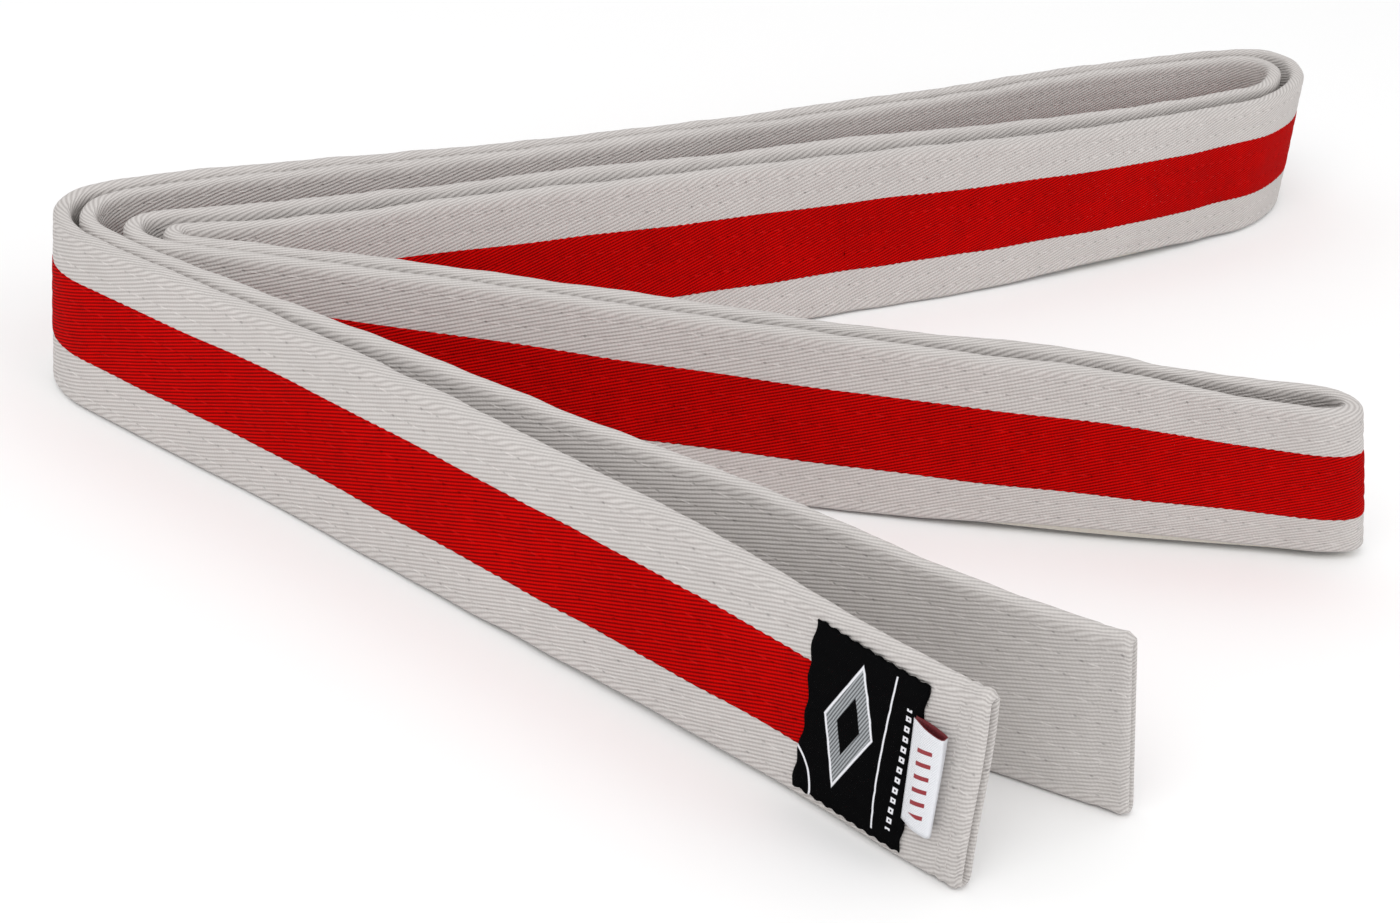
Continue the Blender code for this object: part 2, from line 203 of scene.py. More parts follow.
def section():
    """Side, height, outward normal and distance round the section, from the crest of the lower edge."""
    rows = []
    for m in range(EDGE_TURNS):
        turn = math.pi / 2.0 * m / EDGE_TURNS
        side = math.sin(turn) ** EDGE_FULLNESS * HALF
        height = (1 - math.cos(turn) ** EDGE_FULLNESS) * (WIDTH / 2 - FACE_REACH)
        across = (m / EDGE_TURNS - 1.0) * (WRAP / 2 - FACE_REACH) - FACE_REACH
        rows.append((side, height, math.sin(turn), -math.cos(turn), across))
    for m in range(-FACE_STEPS, FACE_STEPS + 1):
        rows.append((HALF, WIDTH / 2 + m * FACE_STEP, 1.0, 0.0, m * FACE_STEP))
    half = np.array(rows)
    crest = np.array([[0.0, WIDTH, 0.0, 1.0, WRAP / 2]])
    upper = half[1:EDGE_TURNS][::-1] * (1, -1, 1, -1, -1)
    upper[:, 1] += WIDTH
    plain = np.concatenate([half[1:], upper])[::-1] * (-1, 1, -1, 1, -1)
    plain[:, 4] += WRAP
    return np.concatenate([half, upper, crest, plain])


SECTION = section()
AROUND = len(SECTION)
rng = np.random.default_rng(11)
# Ranges of waves per metre along and across the belt, size in millimetres, and how many waves.
WAVE_KINDS = (((25, 90), (-60, 60), 0.045, 8), ((120, 420), (-200, 200), 0.022, 10))
WAVES = [(rng.uniform(*span), rng.uniform(*across), rng.uniform(0, 6.28), size)
         for span, across, size, count in WAVE_KINDS for _ in range(count)]


def rolling(distance, across):
    """A gentle unevenness of the padding, in metres."""
    return sum(size * MM * np.sin(k * distance + q * across + start) for k, q, start, size in WAVES)


def relief(distance, across):
    """How far the quilted cloth stands out at a distance along the belt and a distance round it."""
    folded = across - WRAP * np.round(across / WRAP)
    row = np.round(folded / ROW_PITCH)
    off = folded - row * ROW_PITCH
    inside = eased((distance - ROWS_START) / ROWS_FADE) * eased((LENGTH - distance - ROWS_START) / ROWS_FADE)
    sewn = (np.abs(row) <= ROWS) * inside
    shift = np.mod(3 * row, 4) / 4.0
    turns = distance / STITCH + shift
    hole = (turns - np.round(turns)) * STITCH
    furrow = FURROW_DEPTH * np.exp(-(off / (0.8 * MM)) ** 2)
    pit = PIT_DEPTH * np.exp(-(off / (0.6 * MM)) ** 2 - (hole / (0.7 * MM)) ** 2)
    out = rolling(distance, across) - sewn * (furrow + pit)
    to_end = np.minimum(distance, LENGTH - distance)
    for ring in SEAM_RINGS:
        out = out - END_SEAM_DEPTH * np.exp(-((to_end - ring * STEP) / END_SEAM_REACH) ** 2)
    return out + HEM_RISE * np.exp(-((to_end - HEM_MIDDLE) / HEM_REACH) ** 2)


def edge_wander(distance):
    """How far the upper edge stands above a straight line."""
    return MM * (0.10 * np.sin(92 * distance + 1.7) + 0.08 * np.sin(231 * distance + 3.4)
                 + 0.05 * np.sin(611 * distance + 5.1))


# Place, reach and size of each lift of the lower edge off the floor. The CAD's lower edge is straight.
LOWER_EDGE_LIFTS = ((75.0 * MM, 42.0 * MM, 1.1 * MM), (752.0 * MM, 32.0 * MM, 1.8 * MM),
                    (1305.0 * MM, 45.0 * MM, 1.6 * MM), (1372.0 * MM, 34.0 * MM, 2.2 * MM))
# The same for the stripe's height off centre. The second keeps it hidden behind the middle run.
STRIPE_DRIFTS = ((205.0 * MM, 75.0 * MM, 0.6 * MM), (2110.0 * MM, 110.0 * MM, -1.5 * MM))


def humps(distance, table):
    return sum(size * np.exp(-((distance - place) / reach) ** 2) for place, reach, size in table)


def cover_rings(distances):
    side, height, n_side, n_height, across = SECTION.T
    d = distances[:, None]
    out = relief(d, across[None, :])
    s = side + n_side * out
    h = height + n_height * out
    lift = edge_wander(d) * eased(height / WIDTH * 4 - 3)
    lift = lift + humps(d, LOWER_EDGE_LIFTS) * np.clip(1 - height / LOWER_BAND, 0, 1)
    return s, h + lift


def full_uv(distances, across):
    uv = np.empty((len(distances), len(across), 2))
    uv[..., 0], uv[..., 1] = distances[:, None], across[None, :]
    return uv


def closed_cap(count):
    """Faces across a ring of points whose first is the lower crest, joining each side to the other."""
    faces, half = [], count // 2
    for i in range(half):
        j, k = (count - i) % count, count - i - 1
        corners = [i, i + 1, k, j]
        faces.append([c for n, c in enumerate(corners) if c not in corners[:n]])
    return faces


def tube(name, points, uv, finish, soft_ends=(True, True)):
    """A closed mesh round rings of points. points is rings x around x 3, and uv has one more column."""
    rings, around = points.shape[:2]
    index = np.arange(rings * around).reshape(rings, around)
    nxt = np.roll(index, -1, axis=1)
    quads = np.stack([index[:-1], nxt[:-1], nxt[1:], index[1:]], axis=-1).reshape(-1, 4)
    r, i = (a.reshape(-1) for a in np.meshgrid(np.arange(rings - 1), np.arange(around), indexing="ij"))
    loops = np.stack([uv[r, i], uv[r, i + 1], uv[r + 1, i + 1], uv[r + 1, i]], axis=1).reshape(-1, 2)
    faces = [tuple(q) for q in quads.tolist()]
    extra = []
    for ring, flip in ((0, True), (rings - 1, False)):
        for face in closed_cap(around):
            face = face[::-1] if flip else face
            faces.append(tuple(int(index[ring, c]) for c in face))
            extra += [uv[ring, c] for c in face]
    mesh = bpy.data.meshes.new(name)
    mesh.from_pydata(points.reshape(-1, 3).tolist(), [], faces)
    layer = mesh.uv_layers.new(name="cloth")
    layer.data.foreach_set("uv", np.concatenate([loops, np.array(extra)]).astype(np.float32).reshape(-1))
    mesh.polygons.foreach_set("use_smooth", np.ones(len(faces), bool))
    edges = np.empty(len(mesh.edges) * 2, np.int32)
    mesh.edges.foreach_get("vertices", edges)
    edges = edges.reshape(-1, 2)
    sharp = np.zeros(len(edges), bool)
    if soft_ends[0]:
        sharp |= (edges < around).all(1)
    if soft_ends[1]:
        sharp |= (edges >= (rings - 1) * around).all(1)
    mesh.attributes.new("sharp_edge", "BOOLEAN", "EDGE").data.foreach_set("value", sharp)
    if volume(points, quads) < 0:
        mesh.flip_normals()
    mesh.materials.append(finish)
    mesh.update()
    piece = bpy.data.objects.new(name, mesh)
    bpy.context.scene.collection.objects.link(piece)
    return piece


def volume(points, quads):
    p = points.reshape(-1, 3)
    p = p - p.mean(0)
    a, b, c, d = (p[quads[:, k]] for k in range(4))
    return float((np.einsum("ij,ij->i", a, np.cross(b, c)) + np.einsum("ij,ij->i", a, np.cross(c, d))).sum())


# ---------------------------------------------------------------- materials
class Graph:
    """A node material under construction, with the cloth's own coordinates in metres."""

    def __init__(self, name, roughness, sheen=0.0, specular=0.5):
        self.material = bpy.data.materials.new(name)
        self.material.use_nodes = True
        self.tree = self.material.node_tree
        self.shader = self.tree.nodes["Principled BSDF"]
        self.shader.inputs["Roughness"].default_value = roughness
        self.shader.inputs["Sheen Weight"].default_value = sheen
        self.shader.inputs["Sheen Roughness"].default_value = 0.5
        self.shader.inputs["Specular IOR Level"].default_value = specular
        place = self.add("ShaderNodeUVMap")
        place.uv_map = "cloth"
        split = self.add("ShaderNodeSeparateXYZ")
        self.link(place.outputs[0], split.inputs[0])
        self.u, self.v = split.outputs[0], split.outputs[1]

    def add(self, kind):
        return self.tree.nodes.new(kind)

    def link(self, source, target):
        self.tree.links.new(source, target)

    def feed(self, value, socket):
        if isinstance(value, bpy.types.NodeSocket):
            self.link(value, socket)
        else:
            socket.default_value = value

    def math(self, operation, *values):
        node = self.add("ShaderNodeMath")
        node.operation = operation
        for value, socket in zip(values, node.inputs):
            self.feed(value, socket)
        return node.outputs[0]

    def plus(self, a, b):
        return self.math("ADD", a, b)

    def times(self, a, b):
        return self.math("MULTIPLY", a, b)

    def minus(self, a, b):
        return self.math("SUBTRACT", a, b)

    def step(self, value, low, high, to_low=0.0, to_high=1.0):
        node = self.add("ShaderNodeMapRange")
        node.interpolation_type = "SMOOTHSTEP"
        for socket, number in zip(node.inputs[:5], (value, low, high, to_low, to_high)):
            self.feed(number, socket)
        return node.outputs[0]

    def at(self, u, v):
        node = self.add("ShaderNodeCombineXYZ")
        self.feed(u, node.inputs[0])
        self.feed(v, node.inputs[1])
        return node.outputs[0]

    def noise(self, place, scale, detail=2.0):
        node = self.add("ShaderNodeTexNoise")
        self.link(place, node.inputs["Vector"])
        node.inputs["Scale"].default_value = scale
        node.inputs["Detail"].default_value = detail
        return node.outputs[0]

    def mix(self, share, a, b, how="MIX"):
        node = self.add("ShaderNodeMix")
        node.data_type = "RGBA"
        node.blend_type = how
        self.feed(share, node.inputs[0])
        self.feed(a, node.inputs[6])
        self.feed(b, node.inputs[7])
        return node.outputs[2]

    def wave(self, value, period):
        """From 0 to 1 and back, once in each period."""
        turns = self.times(value, 2 * math.pi / period)
        return self.math("MULTIPLY_ADD", self.math("COSINE", turns), 0.5, 0.5)

    def finish(self, colour, height, depth):
        self.link(colour, self.shader.inputs["Base Color"])
        bump = self.add("ShaderNodeBump")
        bump.inputs["Strength"].default_value = 1.0
        bump.inputs["Distance"].default_value = depth
        self.link(height, bump.inputs["Height"])
        self.link(bump.outputs[0], self.shader.inputs["Normal"])
        return self.material


def grey(level):
    return (level, level, level, 1.0)


def twill_material(name, light, dark, pitch, slope, stitched, depth, sheen, specular, tint=None):
    """Twill: slanting ridges of yarn, fine ribs across them, fuzz, and the needle holes of the quilting, with
    painted shade in the holes and a painted highlight on the stitches between them.
    """
    g = Graph(name, 0.92, sheen=sheen, specular=specular)
    here = g.at(g.u, g.v)
    slow = g.noise(here, 55.0, 2.0)
    phase = g.plus(g.plus(g.v, g.times(g.u, slope)), g.times(g.minus(slow, 0.5), pitch * 0.6))
    ridge = g.wave(phase, pitch)
    floats = g.wave(g.minus(g.u, g.times(g.v, slope)), pitch * 0.92)
    yarn = g.math("POWER", ridge, 0.7)
    fuzz = g.noise(g.at(g.u, g.times(g.v, 2.2)), 2600.0, 3.0)
    patch = g.noise(here, 190.0, 3.0)
    wide = g.noise(here, 22.0, 2.0)
    folded = g.minus(g.v, g.times(g.math("ROUND", g.times(g.v, 1 / WRAP)), WRAP))
    row = g.math("ROUND", g.times(folded, 1 / ROW_PITCH))
    off = g.math("ABSOLUTE", g.minus(folded, g.times(row, ROW_PITCH)))
    sewn = g.math("LESS_THAN", g.math("ABSOLUTE", row), ROWS + 0.5)
    shift = g.times(g.math("FLOORED_MODULO", g.times(row, 3.0), 4.0), 0.25)
    turns = g.plus(g.times(g.u, 1 / STITCH), shift)
    along = g.times(g.math("ABSOLUTE", g.minus(turns, g.math("ROUND", turns))), STITCH)
    jitter = g.step(g.noise(here, 330.0, 0.0), 0.35, 0.65)
    radius = g.math("SQRT", g.plus(g.times(off, off), g.times(g.times(along, along), 0.35)))
    hole = g.times(g.step(radius, 0.05 * MM, 0.36 * MM, 1.0, 0.0), sewn)
    hole = g.times(hole, g.math("MULTIPLY_ADD", jitter, 0.75, 0.25))
    dash = g.times(g.step(off, 0.06 * MM, 0.27 * MM, 1.0, 0.0), g.step(along, 0.9 * MM, 1.5 * MM))
    dash = g.times(dash, sewn)
    dash = g.times(dash, g.math("MULTIPLY_ADD", jitter, -0.7, 0.85))
    shade = g.math("MULTIPLY_ADD", yarn, 0.75, g.times(floats, 0.10))
    shade = g.plus(shade, g.times(g.minus(fuzz, 0.5), 0.55))
    shade = g.plus(shade, g.times(g.minus(patch, 0.5), 0.30))
    cloth = g.mix(shade, (*dark, 1.0), (*light, 1.0))
    cloth = g.mix(g.step(wide, 0.3, 0.7), cloth, g.mix(1.0, cloth, tint or grey(0.965), "MULTIPLY"))
    # Painted highlight: the stitch thread is the cloth's own colour, lightened along each dash as if lit.
    painted_thread_highlight = (*[min(1.0, c * 1.28 + 0.02) for c in light], 1.0)
    cloth = g.mix(g.times(dash, stitched), cloth, g.mix(0.55, cloth, painted_thread_highlight))
    # Painted shade: the cloth is darkened in each needle hole, where shade falls in the dimple.
    cloth = g.mix(g.times(hole, 0.5), cloth, g.mix(1.0, cloth, grey(0.42), "MULTIPLY"))
    height = g.plus(g.times(yarn, 0.85), g.times(floats, 0.14))
    height = g.plus(height, g.times(fuzz, 0.35))
    height = g.plus(height, g.times(dash, 0.6))
    height = g.minus(height, g.times(hole, 0.9))
    g.link(g.step(patch, 0.2, 0.8, 0.86, 0.98), g.shader.inputs["Roughness"])
    return g.finish(cloth, height, depth)


twill = twill_material(
    "belt_twill_cloth", light=(0.665, 0.635, 0.615), dark=(0.43, 0.40, 0.385), pitch=0.86 * MM, slope=0.33,
    stitched=0.75, depth=0.16 * MM, sheen=0.08, specular=0.2)
red_twill = twill_material(
    "stripe_twill_cloth", light=(0.74, 0.0026, 0.002), dark=(0.13, 0.0006, 0.0006), pitch=0.75 * MM,
    slope=0.34, stitched=0.4, depth=0.18 * MM, sheen=0.0, specular=0.03, tint=(0.90, 0.8, 0.8, 1.0))


def interlining_material():
    g = Graph("interlining_felt", 0.95, sheen=0.05, specular=0.2)
    fuzz = g.noise(g.at(g.u, g.v), 1500.0, 4.0)
    return g.finish(g.mix(fuzz, (0.60, 0.57, 0.50, 1), (0.74, 0.71, 0.64, 1)), fuzz, 0.1 * MM)


def thread_material():
    g = Graph("white_thread", 0.85, sheen=0.05, specular=0.2)
    twist = g.wave(g.plus(g.u, g.times(g.v, 0.8)), 0.5 * MM)
    return g.finish(g.mix(twist, (0.46, 0.43, 0.415, 1), (0.64, 0.61, 0.59, 1)), twist, 0.05 * MM)


def label_material():
    """Black satin with a hatched lozenge, thin woven lines and a column of small squares."""
    g = Graph("label_satin", 0.8, specular=0.03)
    weave = g.wave(g.plus(g.u, g.times(g.v, 0.5)), 0.34 * MM)
    warp = g.wave(g.v, 0.30 * MM)
    u, v = g.times(g.u, 1000.0), g.times(g.v, 1000.0)  # millimetres from the end-side lower corner
    across = g.math("ABSOLUTE", g.times(g.minus(g.minus(u, 14.6), g.times(g.minus(v, 18.0), -0.10)), 1 / 5.4))
    tall = g.math("ABSOLUTE", g.times(g.minus(v, 18.0), 1 / 14.0))
    diamond = g.plus(across, tall)
    outer = g.step(diamond, 0.96, 1.0, 1.0, 0.0)
    inner = g.step(diamond, 0.44, 0.48, 1.0, 0.0)
    hatch = g.math("MULTIPLY_ADD", g.wave(g.plus(u, g.times(v, 0.45)), 0.55), 0.75, 0.25)
    rim = g.times(outer, g.step(diamond, 0.88, 0.92))
    bow = g.plus(7.2, g.times(g.times(g.minus(v, 17.0), g.minus(v, 17.0)), -0.0034))
    line = g.step(g.math("ABSOLUTE", g.minus(u, bow)), 0.10, 0.24, 1.0, 0.0)
    line = g.times(line, g.step(g.math("ABSOLUTE", g.minus(v, 17.5)), 15.8, 16.0, 1.0, 0.0))
    arc = g.math("SQRT", g.plus(g.math("POWER", g.minus(u, 32.0), 2.0), g.math("POWER", v, 2.0)))
    arc = g.step(g.math("ABSOLUTE", g.minus(arc, 11.6)), 0.12, 0.28, 1.0, 0.0)
    arc = g.times(arc, g.step(v, 8.6, 8.8, 1.0, 0.0))
    cell = g.math("ABSOLUTE", g.minus(g.math("FRACT", g.times(v, 1 / 2.1)), 0.5))
    beside = g.math("ABSOLUTE", g.minus(u, 3.1))
    ticks = g.times(g.step(cell, 0.24, 0.30, 1.0, 0.0), g.step(beside, 0.45, 0.6, 1.0, 0.0))
    hollow = g.times(g.step(cell, 0.08, 0.13, 1.0, 0.0), g.step(beside, 0.12, 0.22, 1.0, 0.0))
    ticks = g.times(g.math("MAXIMUM", g.minus(ticks, hollow), 0.0),
                    g.step(g.math("ABSOLUTE", g.minus(v, 15.8)), 12.5, 12.6, 1.0, 0.0))
    colour = g.mix(g.times(weave, warp), (0.0008, 0.0008, 0.001, 1), (0.003, 0.003, 0.0035, 1))
    fill = g.times(g.minus(outer, inner), hatch)
    colour = g.mix(fill, colour, (0.40, 0.42, 0.44, 1))
    bright = g.math("MAXIMUM", g.math("MAXIMUM", rim, line), g.math("MAXIMUM", arc, ticks))
    colour = g.mix(bright, colour, (0.80, 0.80, 0.84, 1))
    woven = g.times(g.math("MAXIMUM", bright, fill), 0.8)
    height = g.plus(g.times(weave, 0.5), g.plus(g.times(warp, 0.3), woven))
    return g.finish(colour, height, 0.07 * MM)


def tab_material():
    """White satin with a row of slanting dark red marks, and painted shade along the fold."""
    g = Graph("tab_satin", 0.5, sheen=0.1, specular=0.4)
    weave = g.wave(g.plus(g.u, g.times(g.v, 0.6)), 0.36 * MM)
    u, v = g.times(g.u, 1000.0), g.times(g.v, 1000.0)
    lean = g.plus(v, g.times(u, 0.35))
    beat = g.math("ABSOLUTE", g.minus(g.math("FRACT", g.times(lean, 1 / 2.6)), 0.5))
    mark = g.step(beat, 0.14, 0.19, 1.0, 0.0)
    mark = g.times(mark, g.step(g.math("ABSOLUTE", g.minus(u, 10.6)), 1.6, 1.75, 1.0, 0.0))
    mark = g.times(mark, g.step(g.math("ABSOLUTE", g.minus(v, 9.6)), 7.0, 7.2, 1.0, 0.0))
    # Painted shade along the fold where the ribbon turns back on itself.
    fold = g.step(g.math("ABSOLUTE", g.minus(u, 6.9)), 0.15, 0.5, 1.0, 0.0)
    colour = g.mix(weave, (0.64, 0.65, 0.69, 1), (0.80, 0.81, 0.84, 1))
    colour = g.mix(g.times(fold, 0.35), colour, (0.3, 0.3, 0.32, 1))
    colour = g.mix(mark, colour, (0.27, 0.004, 0.012, 1))
    return g.finish(colour, g.plus(weave, g.times(mark, 0.5)), 0.05 * MM)


def tab_lining_material():
    g = Graph("tab_lining", 0.6, sheen=0.05)
    weave = g.wave(g.plus(g.u, g.times(g.v, 0.6)), 0.36 * MM)
    return g.finish(g.mix(weave, (0.10, 0.004, 0.008, 1), (0.20, 0.008, 0.014, 1)), weave, 0.05 * MM)


felt = interlining_material()
thread = thread_material()
label_satin = label_material()
tab_satin = tab_material()
tab_lining = tab_lining_material()

# ---------------------------------------------------------------- where each piece starts and ends
first_points = np.cumsum([0] + [len(points) for _, points in ROUTE_MM])
breaks = TRAVEL[np.minimum(first_points * CURVE_STEPS, len(TRAVEL) - 1)]
breaks[-1] = LENGTH
START = {name: a for (name, _), a in zip(ROUTE_MM, breaks)}
END = {name: b for (name, _), b in zip(ROUTE_MM, breaks[1:])}


def cut(section_name):
    """The middle of a section, on a ring of the mesh."""
    return round((START[section_name] + END[section_name]) / 2 / STEP)


CUTS = [0, cut("back_a"), cut("middle_a"), cut("middle_b"), cut("back_b"), LENGTH / STEP]


def joint_side(pivot, toward, before, after):
    """Start and end of a bend that opens about pivot, along a direction in plan."""
    x, y = toward
    size = math.hypot(x, y)
    x, y = x / size, y / size
    start = (pivot[0] + x * before, pivot[1] + y * before, WIDTH / 2)
    end = (pivot[0] + x * after, pivot[1] + y * after, WIDTH / 2)
    return start, end


LEFT_PIVOT = (-149.7 * MM, -43.7 * MM)
RIGHT_PIVOT = (138.6 * MM, 174.2 * MM)
LOOP_PIVOT = (-131.9 * MM, -46.6 * MM)
PIECES = [
    ("tail_a", 0, ("back_run", "tail_a"), joint_side(LEFT_PIVOT, (0, -1), -26 * MM, 23 * MM),
     ["tail_a", "outer_left_bend_a"]),
    ("back_a", 1, ("middle_run", "back_run"), joint_side(RIGHT_PIVOT, (-0.66, 0.75), -9 * MM, 17 * MM),
     ["back_a", "right_bend_a"]),
    ("front", 2, ("middle_run", "loop_run"), joint_side(LOOP_PIVOT, (0.259, -0.966), -8 * MM, 10 * MM),
     ["middle_a", "inner_left_bend_a", "loop_a", "front_fold", "loop_b", "inner_left_bend_b", "middle_b"]),
    ("back_b", 3, ("middle_run", "back_run"), joint_side(RIGHT_PIVOT, (-0.66, 0.75), -0.5 * MM, 11.5 * MM),
     ["back_b", "right_bend_b"]),
    ("tail_b", 4, ("back_run", "tail_b"), joint_side(LEFT_PIVOT, (0, -1), -26 * MM, 23 * MM),
     ["tail_b", "outer_left_bend_b"]),
]

# The rings that close an end: distance from it in millimetres, and share of the thickness. They start in the
# hollow of the end and go round its rim. The cloth's own coordinate runs on over them, in millimetres.
END_RINGS = [(2.6, 0.22), (0.9, 0.30), (0.25, 0.46), (0.0, 0.66), (0.12, 0.82), (0.45, 0.93)]
END_CLOTH = np.array([-3.4, -1.7, -1.0, -0.5, -0.1, 0.2]) * MM
CORNER = 1.6 * MM


def end_shape(sides, heights, near):
    """Pulls the section in at a closed end, near millimetres from it, and rounds its corners."""
    near = np.asarray(near)[:, None]
    short = CORNER - np.sqrt(np.maximum(CORNER ** 2 - np.maximum(CORNER - near, 0.0) ** 2, 0.0))
    keep = 1.0 - 2.0 * short / WIDTH
    return sides, WIDTH / 2 + (heights - WIDTH / 2) * keep


def cover_piece(name, first, last):
    """One stretch of the cover between two rings, closed round its end where that is an end of the belt."""
    whole = np.arange(math.ceil(first), math.floor(last) + 1) * STEP
    at_a, at_b = first == 0, last > CUTS[4]
    if at_b:
        whole = whole[whole < LENGTH - 0.5 * STEP]
    if at_a:
        whole = whole[1:]
    near = np.minimum(whole, LENGTH - whole)
    sides, heights = cover_rings(whole)
    sides = sides * (1.0 - 0.04 * np.exp(-(near / (1.2 * MM)) ** 2))[:, None]
    sides, heights = end_shape(sides, heights, near)
    distances = np.repeat(whole[:, None], AROUND, axis=1)
    uv_along = whole
    for at, end, inwards in ((at_a, 0.0, 1.0), (at_b, LENGTH, -1.0)):
        if not at:
            continue
        d = np.array([ring[0] for ring in END_RINGS]) * MM
        share = np.array([ring[1] for ring in END_RINGS])[:, None]
        s, h = cover_rings(np.full(len(d), end + inwards * 0.5 * MM))
        s, h = end_shape(s * share, h, np.full(len(d), 0.25 * MM))
        h = WIDTH / 2 + (h - WIDTH / 2) * (1.0 - 0.09 * (1 - share) ** 2)
        more = end + inwards * np.repeat(d[:, None], AROUND, axis=1)
        along = end + inwards * END_CLOTH
        if inwards > 0:
            sides = np.vstack([s, sides])
            heights = np.vstack([h, heights])
            distances = np.vstack([more, distances])
            uv_along = np.concatenate([along, uv_along])
        else:
            sides = np.vstack([sides, s[::-1]])
            heights = np.vstack([heights, h[::-1]])
            distances = np.vstack([distances, more[::-1]])
            uv_along = np.concatenate([uv_along, along[::-1]])
    points = placed(distances, sides, np.maximum(heights, 0.0))
    across = np.concatenate([SECTION[:, 4], [SECTION[0, 4] + 2 * WRAP]])
    return tube(name, points, full_uv(uv_along, across), twill, (not at_a, not at_b))


STRIPE_START = 17.0 * MM  # under the label
STRIPE_STOP = 6.5 * MM  # short of end B


def stripe_piece(name, first, last):
    """The coloured strip, sewn flat on the cover and following its quilting."""
    start = max(first * STEP, STRIPE_START)
    stop = min(last * STEP, LENGTH - STRIPE_STOP)
    d = np.arange(math.ceil(start / STEP - 1e-6), math.floor(stop / STEP + 1e-6) + 1) * STEP
    reach = STRIPE_HEIGHT / 2
    jag_low = MM * 0.12 * np.sin(2 * math.pi * d / (1.87 * MM) + 3 * np.sin(40 * d))
    jag_low = jag_low + 0.10 * MM * np.sin(170 * d)
    jag_high = MM * 0.12 * np.sin(2 * math.pi * d / (2.05 * MM) + 3 * np.sin(55 * d))
    jag_high = jag_high + 0.10 * MM * np.sin(143 * d + 1)
    faces = np.arange(-8, 9) * FACE_STEP
    # Distance from the middle, and how far the point stands off the cover in millimetres.
    around = [(0.0, -0.55), (-reach, -0.30), (-reach, 0.06)]
    around += [(f, 0.16) for f in faces]
    around += [(reach, 0.06), (reach, -0.30)]
    across = np.array([p[0] for p in around])
    proud = np.array([p[1] for p in around]) * MM
    edge = np.where(across < -8.5 * MM, 1, 0)[None, :] * jag_low[:, None]
    edge = edge + np.where(across > 8.5 * MM, 1, 0)[None, :] * jag_high[:, None]
    v = across[None, :] + edge + humps(d, STRIPE_DRIFTS)[:, None]
    side = HALF + relief(d[:, None], v) + proud
    points = placed(d[:, None], side, WIDTH / 2 + v)
    uv = np.empty((len(d), len(around) + 1, 2))
    uv[..., 0] = d[:, None]
    uv[:, :-1, 1], uv[:, -1, 1] = v, v[:, 0]
    return tube(name, points, uv, red_twill)


CORE_END = 4 * MM  # the interlining stops short of the folded-in hems


def core_piece(name, first, last):
    """The interlining inside the cover."""
    start, stop = max(first * STEP, CORE_END), min(last * STEP, LENGTH - CORE_END)
    d = np.linspace(start, stop, math.ceil((stop - start) / (2 * STEP)) + 1)
    low, high = -0.85 * MM, 0.75 * MM
    levels = [1.3 * MM, 11.3 * MM, 20 * MM, 28.7 * MM, 38.7 * MM]
    ring = [(0.0, 1.1 * MM)] + [(high, level) for level in levels]
    ring += [(0.0, 38.9 * MM)] + [(low, level) for level in reversed(levels)]
    side, height = (np.array([p[k] for p in ring]) for k in (0, 1))
    points = placed(d[:, None], side[None, :], height[None, :])
    return tube(name, points, full_uv(d, np.append(height, height[0])), felt)


def slab(name, grid, uv, thickness, finishes):
    """A thin closed sheet on both sides of a grid of points, with its own finish on the second side."""
    along = np.gradient(grid, axis=0)
    up = np.gradient(grid, axis=1)
    normal = np.cross(along, up)
    normal /= np.linalg.norm(normal, axis=-1, keepdims=True)
    rows, columns = grid.shape[:2]
    index = np.arange(rows * columns).reshape(rows, columns)
    front = np.stack([index[:-1, :-1], index[1:, :-1], index[1:, 1:], index[:-1, 1:]], axis=-1).reshape(-1, 4)
    back = front[:, ::-1] + rows * columns
    border = np.concatenate([index[:, 0], index[-1, 1:], index[-2::-1, -1], index[0, -2:0:-1]])
    after = np.roll(border, -1)
    rim = np.stack([after, border, border + rows * columns, after + rows * columns], axis=-1)
    faces = np.concatenate([front, back, rim])
    half = normal * thickness / 2
    points = np.concatenate([(grid + half).reshape(-1, 3), (grid - half).reshape(-1, 3)])
    mesh = bpy.data.meshes.new(name)
    mesh.from_pydata(points.tolist(), [], [tuple(f) for f in faces.tolist()])
    flat = np.concatenate([uv.reshape(-1, 2)] * 2)
    layer = mesh.uv_layers.new(name="cloth")
    layer.data.foreach_set("uv", flat[faces.reshape(-1)].astype(np.float32).reshape(-1))
    smooth = np.ones(len(faces), bool)
    smooth[len(front) * 2:] = False
    mesh.polygons.foreach_set("use_smooth", smooth)
    for finish in finishes:
        mesh.materials.append(finish)
    if len(finishes) > 1:
        slot = np.zeros(len(faces), np.int32)
        slot[len(front):2 * len(front)] = 1
        mesh.polygons.foreach_set("material_index", slot)
    mesh.update()
    piece = bpy.data.objects.new(name, mesh)
    bpy.context.scene.collection.objects.link(piece)
    return piece


for name, k, bodies, (bend_start, bend_end), sections in PIECES:
    first, last = CUTS[k], CUTS[k + 1]
    for kind, make, width, slot in (("cover", cover_piece, WIDTH, "belt_twill"),
                                    ("core", core_piece, WIDTH - 2.2 * MM, "interlining"),
                                    ("stripe", stripe_piece, STRIPE_HEIGHT, "stripe_twill")):
        piece = make(f"{kind}_{name}", first, last)
        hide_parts(*[f"{s}_{kind}" for s in sections])
        if kind == "cover" and name == "tail_a":
            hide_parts("end_a_hem")
        if kind == "cover" and name == "tail_b":
            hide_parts("end_b_hem")
        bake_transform(piece)

